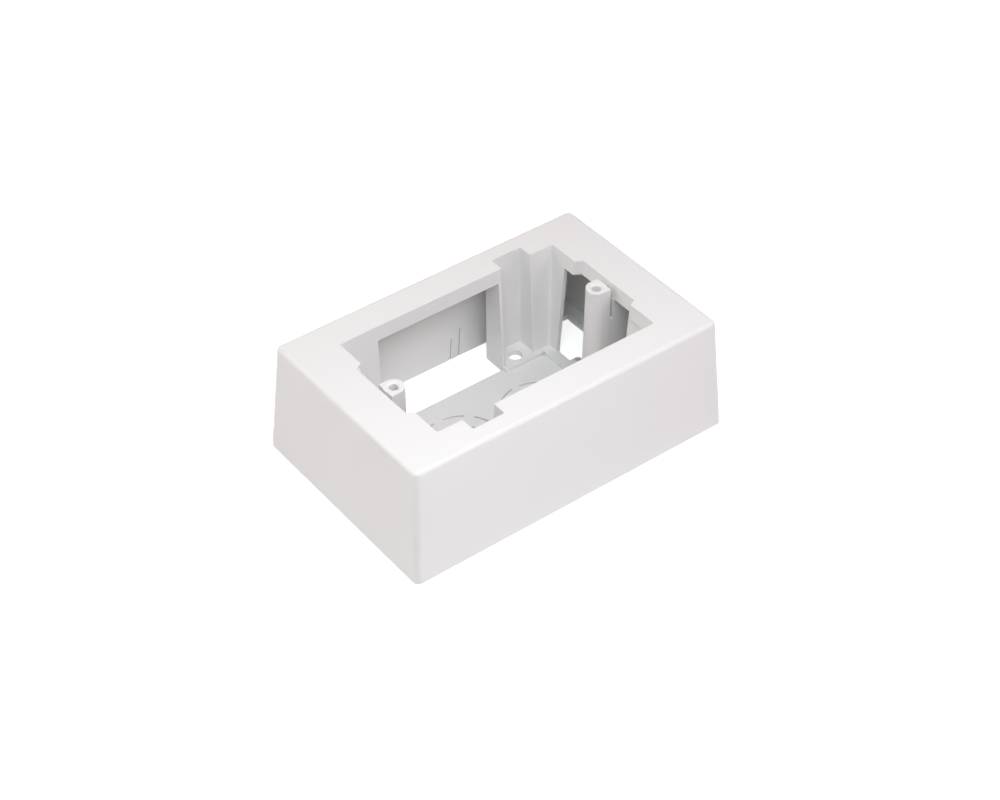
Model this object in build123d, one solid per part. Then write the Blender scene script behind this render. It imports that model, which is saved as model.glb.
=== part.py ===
from build123d import *
from math import radians, tan
import os

# Single gang surface outlet box, moulded in one piece.
# The box stands on its wall side: z = 0 is the wall, +Z points into the room.
# +X runs along the box, towards one device screw. The origin is the middle of the wall side.
# All but the two knockouts looks the same after half a turn about Z.
# All sizes are in millimetres.

# Outer shell
LENGTH = 128.4          # along X, at the wall
WIDTH = 84.2            # along Y, at the wall
DEPTH = 43.4            # wall to front face
END_LEAN = 2.9          # how far each short side leans in over the depth
SIDE_LEAN = 3.4         # how far each long side leans in over the depth
CORNER_R = 2.2          # upright corners
INNER_CORNER_R = 0.5    # smallest upright corner inside the shell
RIM_R = 1.5             # rounding round the front face
WALL = 1.8              # shell wall
FACE = 2.2              # thickness of the front face

# Opening in the front face, as half sizes from the middle
OPEN_X = 44.1
OPEN_Y = 26.7
RECESS_X = 46.7         # the opening reaches further out behind each device screw
RECESS_Y = 13.4
RECESS_SLANT = 1.4      # the sides of that recess are cut at an angle
POCKET_NEAR = 22.1      # pocket beside the long edge, over the wall screw
POCKET_FAR = 34.4
POCKET_Y = 32.2
OPEN_CORNER_R = 0.8
POCKET_EDGE_R = 0.6

# Well walls below the opening
WELL_WALL = 1.5
WELL_DRAFT = 4.0        # degrees, the well narrows towards the floor
POCKET_DRAFT = 0.8      # degrees, back of the pocket
LIP = 5.7               # depth of the lip that goes all round the opening
PILLAR_END = 19.5       # where the pillar's end return stops, in Y
CORNER_WALL_END = 29.5  # where the corner wall stops, in X
SET_BACK = 1.3          # the end of the corner wall lies this far behind the lip
CORNER_REACH = 13.2     # and stops here, in Y

# Device screw posts
SCREW_SPACING = 83.34   # standard single gang spacing
POST_R = 3.65
POST_FOOT_R = 4.1
POST_FLAT = 3.3         # screw centre to the flat side
POST_DROP = 0.9         # post top below the front face
SCREW_BORE = 3.1
SCREW_DEPTH = 20.0
LEAD_IN = 4.4           # width of the lead in at the top of the bore
LEAD_DEPTH = 0.4
SLOT = 1.2              # slot between the post and the rib behind it
SLOT_BOTTOM = 29.5

# Floor against the wall
FLOOR = 2.2
PANEL = 1.2             # thinner panel that holds the knockouts
PANEL_X = 37.3
PANEL_Y = 21.7
PANEL_R = 2.0
DIMPLE_R = 0.75         # dimple in the corner of the panel
DIMPLE_FLOOR = 0.4
FLOOR_END = 41.7        # end of the floor strip
TONGUE_X = 45.6         # the floor reaches further out in a tongue below each device screw
TONGUE_Y = 12.6
EYELET_R = 1.3          # rounded corner of the tongue, with a small hole in its middle
EYELET_HOLE = 1.5
WALL_SCREW_Y = 26.5
WALL_SCREW_HOLE = 5.1
FLANGE_X = 57.0         # inner edge of the end flange
FLANGE_Y = 33.0         # inner edge of the corner plates

# Knockouts in the floor panel, by their centres
KNOCKOUTS = [(18.3, -0.9), (-13.6, 1.1)]
OUTER_DISC = 28.2       # three quarter inch conduit
INNER_DISC = 18.0
SLIT = 0.65
TAB = 3.35
TABS = 8

# Upright scores in the long walls, where raceway openings break out: place along X and height
SCORES = [(10.0, 9.8), (13.6, 13.4)]
SCORE_WIDTH = 0.5
SCORE_DEPTH = 0.45

WELL_DROP = DEPTH * tan(radians(WELL_DRAFT))   # how far the draft brings a well wall in at z = 0
WALL_SCREW_X = (POCKET_NEAR + POCKET_FAR) / 2
PAST = 1.0              # how far a cutter reaches past a face
HALF_TURN = Rot(0, 0, 180)


def both_ends(shape):
    """The shape and its copy after half a turn."""
    return shape + HALF_TURN * shape


def block(x0, x1, y0, y1, z0, z1):
    """A box given by its lowest and highest corner."""
    size = Box(x1 - x0, y1 - y0, z1 - z0, align=(Align.MIN, Align.MIN, Align.MIN))
    return Pos(x0, y0, z0) * size


def shell_section(z, inset):
    """Outline of the leaning shell at one height, moved in by inset."""
    length = LENGTH - 2 * (END_LEAN * z / DEPTH + inset)
    width = WIDTH - 2 * (SIDE_LEAN * z / DEPTH + inset)
    return Pos(0, 0, z) * RectangleRounded(length, width, max(CORNER_R - inset, INNER_CORNER_R))


def shell_block(z0, z1, inset):
    sections = Sketch() + [shell_section(z0, inset), shell_section(z1, inset)]
    return loft(sections, ruled=True)


def well_section(z, grow):
    """Stepped outline of the opening at one height, moved out by grow."""
    drop = (DEPTH - z) * tan(radians(WELL_DRAFT)) - grow
    pocket_drop = (DEPTH - z) * tan(radians(POCKET_DRAFT)) - grow
    x, y, recess = OPEN_X - drop, OPEN_Y - drop, RECESS_X - drop
    pocket = POCKET_Y - pocket_drop
    side = RECESS_Y + grow / 2
    half = [
        (recess, -side),
        (recess, side),
        (x, side + RECESS_SLANT),
        (x, y),
        (POCKET_FAR + grow, y),
        (POCKET_FAR + grow, pocket),
        (POCKET_NEAR - grow, pocket),
        (POCKET_NEAR - grow, y),
        (-x, y),
        (-x, side + RECESS_SLANT),
    ]
    points = half + [(-px, -py) for px, py in half]
    return Pos(0, 0, z) * make_face(Polyline(*points, close=True))


def well_block(z0, z1, grow):
    sections = Sketch() + [well_section(z0, grow), well_section(z1, grow)]
    return loft(sections, ruled=True)


def upright_edges(shape, x, y):
    """Edges that rise near one of the four places (x, y), (-x, y) and so on."""
    found = []
    for edge in shape.edges():
        middle = edge.center()
        off = max(abs(abs(middle.X) - x), abs(abs(middle.Y) - y))
        if off < WELL_DROP and edge.bounding_box().size.Z > DEPTH / 2:
            found.append(edge)
    return found


def well_space():
    """The open space of the well, with its upright corners rounded."""
    space = well_block(-PAST, DEPTH + PAST, 0)
    space = fillet(upright_edges(space, OPEN_X, OPEN_Y), OPEN_CORNER_R)
    for x in (POCKET_NEAR, POCKET_FAR):
        for y in (POCKET_Y, OPEN_Y):
            space = fillet(upright_edges(space, x, y), POCKET_EDGE_R)
    return space


def shell(space):
    """Leaning box with a rounded rim, hollow below, open at the front."""
    outer = shell_block(0, DEPTH, 0)
    rim = outer.faces().sort_by(Axis.Z)[-1].edges()
    inner = shell_block(-PAST, DEPTH - FACE, WALL)
    return fillet(rim, RIM_R) - inner - space - both_ends(scores())


def well_walls(space):
    """Lip all round, then full height walls only at the pillars and, set back at the end, the corners."""
    ring = well_block(0, DEPTH - FACE / 2, WELL_WALL) - space
    far = LENGTH
    lip = ring & block(-far, far, -far, far, DEPTH - LIP, DEPTH)
    pillar = ring & block(POCKET_NEAR - WELL_WALL, far, PILLAR_END, far, 0, DEPTH)
    corner = block(CORNER_WALL_END, far, -far, WELL_DROP - OPEN_Y, 0, DEPTH)
    corner &= Pos(SET_BACK, 0, 0) * ring
    return lip + both_ends(pillar + corner + corner_end())


def corner_end():
    """Leaning end of the corner wall, along Y."""
    top = DEPTH - FACE / 2
    foot = OPEN_X + SET_BACK - WELL_DROP
    head = foot + top * tan(radians(WELL_DRAFT))
    side = Polyline((foot, 0), (foot + WELL_WALL, 0), (head + WELL_WALL, top), (head, top), close=True)
    wall = extrude(Plane.XZ * make_face(side), OPEN_Y - CORNER_REACH)
    return Pos(0, -CORNER_REACH, 0) * wall


def post():
    """Device screw post at the +X end, flat towards the end wall, with its bore."""
    at = SCREW_SPACING / 2
    top = DEPTH - POST_DROP
    sections = Sketch()
    for z, radius in ((0, POST_FOOT_R), (top, POST_R)):
        back = Pos(at + POST_FLAT / 2, 0, z) * Rectangle(POST_FLAT, 2 * radius)
        sections += Pos(at, 0, z) * Circle(radius) + back
    bore = Pos(at, 0, top - SCREW_DEPTH / 2) * Cylinder(SCREW_BORE / 2, SCREW_DEPTH)
    cone = Pos(at, 0, top - LEAD_DEPTH / 2) * Cone(SCREW_BORE / 2, LEAD_IN / 2, LEAD_DEPTH)
    return loft(sections, ruled=True) - bore - cone


def post_link():
    """Rib from the short side to the slot, level with the post's flank, and the web below the slot."""
    at = SCREW_SPACING / 2
    edge = WELL_WALL - POST_R
    rib = block(at + POST_FLAT + SLOT, LENGTH, -POST_R, edge, 0, DEPTH - LIP)
    web = block(at + POST_FLAT / 2, LENGTH, -POST_R, edge, 0, SLOT_BOTTOM)
    behind_lip = block(RECESS_X + WELL_WALL / 2, LENGTH, -POST_R, edge, 0, DEPTH - FACE / 2)
    return (rib + web + behind_lip) & shell_block(0, DEPTH, WALL / 2)


def floor():
    """Floor strip in the outline of the well, with a tongue at each end and a thinner panel."""
    end = FLOOR_END
    plate = well_block(0, FLOOR, 0) & block(-end, end, -WIDTH, WIDTH, 0, FLOOR)
    plate += block(-end, end, -PILLAR_END, PILLAR_END, 0, FLOOR)
    tongues = Rectangle(2 * TONGUE_X, 2 * TONGUE_Y)
    plate += extrude(fillet(tongues.vertices(), EYELET_R), FLOOR)
    panel = Rectangle(2 * PANEL_X, 2 * PANEL_Y)
    panel = fillet(panel.vertices(), PANEL_R)
    near = POCKET_NEAR - WELL_WALL
    free = near + CORNER_WALL_END
    free = Pos(near - free / 2, OPEN_Y / 2) * Rectangle(free, OPEN_Y)
    outline = panel + free + HALF_TURN * free
    plate -= Pos(0, 0, PANEL) * extrude(outline, FLOOR)
    return plate - both_ends(wall_screw_hole() + eyelet_hole() + dimple()) - knockouts()


def end_frame():
    """Flange along the short side and the plates in its two corners."""
    far = LENGTH / 2
    wide = WIDTH / 2
    flange = block(FLANGE_X, far, -wide, wide, 0, FLOOR)
    plate = block(POCKET_FAR, far, FLANGE_Y, wide, 0, FLOOR)
    other = block(CORNER_WALL_END, far, -wide, -FLANGE_Y, 0, FLOOR)
    return (flange + plate + other) & shell_block(0, DEPTH, WALL / 2)


def eyelet_hole():
    at = Pos(TONGUE_X - EYELET_R, TONGUE_Y - EYELET_R, FLOOR / 2)
    return at * Cylinder(EYELET_HOLE / 2, FLOOR + 2 * PAST)


def knockouts():
    """Slits round both discs of each knockout, broken by tabs."""
    slits = Sketch()
    for disc in (OUTER_DISC, INNER_DISC):
        slits += Circle(disc / 2 + SLIT) - Circle(disc / 2)
    for i in range(TABS):
        slits -= Rot(0, 0, i * 360 / TABS) * Pos(OUTER_DISC / 2, 0) * Rectangle(OUTER_DISC, TAB)
    cutter = extrude(slits, PANEL + 2 * PAST)
    return Part() + [Pos(x, y, -PAST) * cutter for x, y in KNOCKOUTS]


def scores():
    """Upright scores in the inner face of the +Y wall."""
    lines = Part()
    for x, height in SCORES:
        lines += block(x - SCORE_WIDTH / 2, x + SCORE_WIDTH / 2, 0, WIDTH, 0, height)
    layer = shell_block(0, DEPTH, WALL - SCORE_DEPTH) - shell_block(0, DEPTH, WALL + PAST)
    return lines & layer


def wall_screw_hole():
    return Pos(WALL_SCREW_X, WALL_SCREW_Y, FLOOR / 2) * Cylinder(WALL_SCREW_HOLE / 2, FLOOR + 2 * PAST)


def dimple():
    at = Pos(PANEL_X - DIMPLE_R / 2, PANEL_Y - DIMPLE_R / 2, DIMPLE_FLOOR + FLOOR / 2)
    return at * Cylinder(DIMPLE_R, FLOOR)


def outlet_box():
    space = well_space()
    box = shell(space) + well_walls(space)
    return box + floor() + both_ends(end_frame() + post_link() + post())


os.makedirs("parts", exist_ok=True)
export_step(outlet_box(), "parts/outlet_box.step")
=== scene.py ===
# %% [markdown]
# # A surface outlet box, moulded in one piece
#
# The real object is a shallow box that is screwed to a wall and carries a wall outlet.
# It is one plastic moulding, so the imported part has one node, and every shape on it is already there.
# This notebook gives that node its finish, then adds the floor, the light and the camera.

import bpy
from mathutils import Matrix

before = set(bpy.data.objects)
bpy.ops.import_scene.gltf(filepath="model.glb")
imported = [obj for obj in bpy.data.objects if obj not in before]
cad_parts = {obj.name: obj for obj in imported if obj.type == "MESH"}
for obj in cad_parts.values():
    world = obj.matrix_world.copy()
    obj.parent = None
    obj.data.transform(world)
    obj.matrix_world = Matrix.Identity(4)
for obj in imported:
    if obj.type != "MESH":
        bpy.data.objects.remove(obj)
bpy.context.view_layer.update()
print("nodes:", sorted(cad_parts))

# %% [markdown]
# ## Three helpers
#
# Colours are written as sRGB hex values, because that is how a colour is read off a sample or a chart.
# Blender's nodes work in linear light, so the first function turns one into the other.
# The second adds a node, sets its options and links its inputs in one call.
# With it, a material reads from top to bottom: its patterns, its relief, its shader, its output.
# The third gives an empty material, which then holds only the nodes that are added here.

# %% Colour and node helpers
import bpy


def linear(hex_colour):
    """The linear colour, with alpha, of an sRGB hex colour such as #F2EFEA."""
    channels = [int(hex_colour[i:i + 2], 16) / 255 for i in (1, 3, 5)]
    return [c / 12.92 if c < 0.04045 else ((c + 0.055) / 1.055) ** 2.4 for c in channels] + [1]


def add_node(tree, kind, inputs, **settings):
    """Add a node. An input that is another node's output becomes a link, any other is set."""
    node = tree.nodes.new(kind)
    for name, value in settings.items():
        setattr(node, name, value)
    for name, value in inputs.items():
        if isinstance(value, bpy.types.NodeSocket):
            tree.links.new(value, node.inputs[name])
        else:
            node.inputs[name].default_value = value
    return node


def new_material(name):
    """An empty node material and its tree."""
    material = bpy.data.materials.new(name)
    material.use_nodes = True
    material.node_tree.nodes.clear()
    return material, material.node_tree


print("the mid grey #808080 in linear light:", linear("#808080"))

# %% [markdown]
# ## The plastic
#
# Boxes of this kind are injection moulded from rigid PVC, filled white with a trace of warmth in it.
# The mould is spark eroded, so the skin is satin: highlights are wide and soft, never sharp.
# Up close the skin has a fine even grain. Over a wall it also waves a little where the plastic shrank.
# One Principled shader does all of this. Both kinds of relief are noise, at sizes given in millimetres.
# The grain of the real mould is near 0.05 mm. It is drawn at 0.3 mm, because finer would not show.

# %% Moulded PVC
MM = 0.001
PVC_TONES = ("#EFEEED", "#F2F0EF")   # the plain plastic, and its lighter and warmer patches
CLOUD = 45 * MM              # width of those patches
GRAIN = 0.3 * MM             # width of one grain of the satin skin
GRAIN_HEIGHT = 0.004 * MM
WAVE = 14 * MM               # width of the shrink waves on a flat wall
WAVE_HEIGHT = 0.03 * MM
FINE, PLAIN = 2.0, 1.0       # octaves of noise: the grain and the patches have more detail than the waves
SKIN_ROUGHNESS = (0.38, 0.5)   # satin, glossier in the waves' hollows than on their crests
EDGE = 0.25 * MM             # the smallest radius that the mould gives an edge
EDGE_RAYS = 6                # samples that feel for an edge
PVC_IOR = 1.53

plastic, tree = new_material("moulded_pvc_off_white")
place = add_node(tree, "ShaderNodeTexCoord", {}).outputs["Object"]
cloud = add_node(tree, "ShaderNodeTexNoise",
                 {"Vector": place, "Scale": 1 / CLOUD, "Detail": FINE})
tone = add_node(tree, "ShaderNodeMix",
                {"Factor": cloud.outputs["Fac"], "A": linear(PVC_TONES[0]), "B": linear(PVC_TONES[1])},
                data_type="RGBA")
grain = add_node(tree, "ShaderNodeTexNoise",
                 {"Vector": place, "Scale": 1 / GRAIN, "Detail": FINE})
wave = add_node(tree, "ShaderNodeTexNoise",
                {"Vector": place, "Scale": 1 / WAVE, "Detail": PLAIN})
gloss = add_node(tree, "ShaderNodeMapRange",
                 {"Value": wave.outputs["Fac"], "To Min": SKIN_ROUGHNESS[0], "To Max": SKIN_ROUGHNESS[1]})
edge = add_node(tree, "ShaderNodeBevel", {"Radius": EDGE}, samples=EDGE_RAYS)
waved = add_node(tree, "ShaderNodeBump",
                 {"Height": wave.outputs["Fac"], "Distance": WAVE_HEIGHT,
                  "Normal": edge.outputs["Normal"]})
grained = add_node(tree, "ShaderNodeBump",
                   {"Height": grain.outputs["Fac"], "Distance": GRAIN_HEIGHT,
                    "Normal": waved.outputs["Normal"]})
skin = add_node(tree, "ShaderNodeBsdfPrincipled",
                {"Base Color": tone.outputs["Result"], "Roughness": gloss.outputs["Result"],
                 "IOR": PVC_IOR, "Normal": grained.outputs["Normal"]})
add_node(tree, "ShaderNodeOutputMaterial", {"Surface": skin.outputs["BSDF"]})

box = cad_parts["outlet_box"]
box.data.materials.clear()
box.data.materials.append(plastic)
print("faces with the moulded skin:", len(box.data.polygons))

# %% [markdown]
# ## The sheet
#
# The object lies on a plain sheet of matt white paper, wall side down.
# A white sheet under studio light is never quite as bright as paper in a picture.
# So what the camera sees of it gets a little light of its own, which lifts it to white.
# The sheet itself is not changed by that: it still catches the shadow and lights the plastic from below.

# %% White sheet
SHEET_SIZE = 8.0             # metres, so wide that its edge fades into the background
SHEET_WHITE = "#E6E6E6"
SHEET_LIFT = 0.72            # light of its own that the camera sees on the sheet


def seen_directly(tree):
    """1 for what the camera sees, also in a reflection or through glass, and 0 for other light."""
    path = add_node(tree, "ShaderNodeLightPath", {}).outputs
    seen = add_node(tree, "ShaderNodeMath",
                    {0: path["Is Camera Ray"], 1: path["Is Glossy Ray"]}, operation="MAXIMUM")
    return add_node(tree, "ShaderNodeMath",
                    {0: seen.outputs[0], 1: path["Is Transmission Ray"]},
                    operation="MAXIMUM").outputs[0]


paper, tree = new_material("white_paper_sheet")
matt = add_node(tree, "ShaderNodeBsdfDiffuse", {"Color": linear(SHEET_WHITE)})
lift = add_node(tree, "ShaderNodeMath", {0: seen_directly(tree), 1: SHEET_LIFT},
                operation="MULTIPLY")
glow = add_node(tree, "ShaderNodeEmission", {"Strength": lift.outputs[0]})
both = add_node(tree, "ShaderNodeAddShader", {0: matt.outputs[0], 1: glow.outputs[0]})
add_node(tree, "ShaderNodeOutputMaterial", {"Surface": both.outputs[0]})

bpy.ops.object.select_all(action="DESELECT")
bpy.ops.mesh.primitive_plane_add(size=SHEET_SIZE)
sheet = bpy.context.object
sheet.name = "paper_sheet"
sheet.data.materials.append(paper)
print("sheet:", sheet.name, SHEET_SIZE, "m wide, colour", SHEET_WHITE)

# %% [markdown]
# ## The studio's walls
#
# Pale walls all round give an even light with a trace of pink in it.
# The same idea as on the sheet makes the background white without adding light to the object:
# the walls are white only where they are seen directly, and at their own level for all other light.

# %% Even light and white background
SKY_LEVEL = 0.3              # even light from all round
SKY_SEEN = 1.0               # white
SKY_TINT = "#FFF3F3"

world = bpy.data.worlds.new("studio")
world.use_nodes = True
bpy.context.scene.world = world
tree = world.node_tree
tree.nodes.clear()
seen = seen_directly(tree)
level = add_node(tree, "ShaderNodeMapRange",
                 {"Value": seen, "To Min": SKY_LEVEL, "To Max": SKY_SEEN})
tint = add_node(tree, "ShaderNodeMix",
                {"Factor": seen, "A": linear(SKY_TINT), "B": linear("#FFFFFF")},
                data_type="RGBA")
sky = add_node(tree, "ShaderNodeBackground",
               {"Color": tint.outputs["Result"], "Strength": level.outputs["Result"]})
add_node(tree, "ShaderNodeOutputWorld", {"Surface": sky.outputs[0]})
print("studio walls:", SKY_TINT, "at", SKY_LEVEL, "and white where they are seen")

# %% [markdown]
# ## Lamps
#
# The picture was lit as product pictures usually are, with soft light from all sides and hardly a shadow.
# Its front face is brightest at the near left corner and falls off by a fifth towards the far corner.
# That takes lamps which are close: at a third of a metre, the far end of the box is a good deal further off.
# So two small soft boxes hang close, over the near sides, and two larger ones light the walls.
# Each is given by its bearing round the box, its height in degrees and its distance.
# Its power follows from how bright it should make white paper, so a lamp can be moved without dimming it.
# The lamp over the camera is so close that it would show, so the lamps are hidden from the camera.

# %% Soft boxes
from math import cos, radians, sin
from mathutils import Vector

SOFT_BOXES = [               # name, bearing, height, distance in metres, level, colour
    ("camera_soft_box", 232, 60, 0.34, 0.4, "#F0FCFF"),
    ("near_right_soft_box", 277, 60, 0.34, 0.13, "#FFFCFF"),
    ("right_soft_box", 322, 45, 0.8, 0.21, "#FFF3F8"),
    ("back_left_soft_box", 142, 30, 0.5, 0.22, "#FFF8F2"),
]
BOX_SHARE = 0.6              # width of a soft box as a share of its distance
FULL_POWER = 10              # watts that make level 1 at a distance of one metre

for name, bearing, height, distance, level, tint in SOFT_BOXES:
    flat = cos(radians(height))
    place = Vector((flat * cos(radians(bearing)), flat * sin(radians(bearing)), sin(radians(height))))
    bpy.ops.object.light_add(type="AREA", location=place * distance)
    lamp = bpy.context.object
    lamp.name = name
    lamp.data.shape = "DISK"
    lamp.data.size = BOX_SHARE * distance
    lamp.data.energy = FULL_POWER * level * distance ** 2
    lamp.data.color = linear(tint)[:3]
    lamp.rotation_euler = (-place).to_track_quat("-Z", "Y").to_euler()
    lamp.visible_camera = False
    print(name, "power", round(lamp.data.energy, 3), "W")

# %% [markdown]
# ## Camera
#
# The picture looks down on one long side and one short side from about 41 degrees above the wall plane.
# A long lens keeps the box's edges nearly parallel, as they are in the picture.
# The camera is aimed at the middle of the wall side, then moved a little up and across in its own frame.

# %% Place the camera
from mathutils import Quaternion

AZIMUTH = -37.753            # degrees round the box, 0 looks along +Y
ELEVATION = 41.223           # degrees above the wall plane
ROLL = 0.303                 # degrees about the line of sight
DISTANCE = 758.5 * MM        # from the origin, along the line of sight
ASIDE = 0.9 * MM             # the camera's own right
ABOVE = 11.0 * MM            # the camera's own up
LENS = 80.553                # focal length in mm
SENSOR = 36                  # width in mm

bpy.ops.object.camera_add()
camera = bpy.context.object
camera.data.lens = LENS
camera.data.sensor_width = SENSOR
turn = Quaternion((0, 0, 1), radians(AZIMUTH)) @ Quaternion((1, 0, 0), radians(90 - ELEVATION))
turn = turn @ Quaternion((0, 0, 1), radians(ROLL))
camera.rotation_mode = "QUATERNION"
camera.rotation_quaternion = turn
camera.location = turn @ Vector((ASIDE, ABOVE, DISTANCE))
bpy.context.scene.camera = camera
print("camera at", tuple(camera.location))

# %% [markdown]
# ## Finish
#
# The colours are to render as they are written, so the view transform is Standard.

bpy.context.scene.view_settings.view_transform = "Standard"
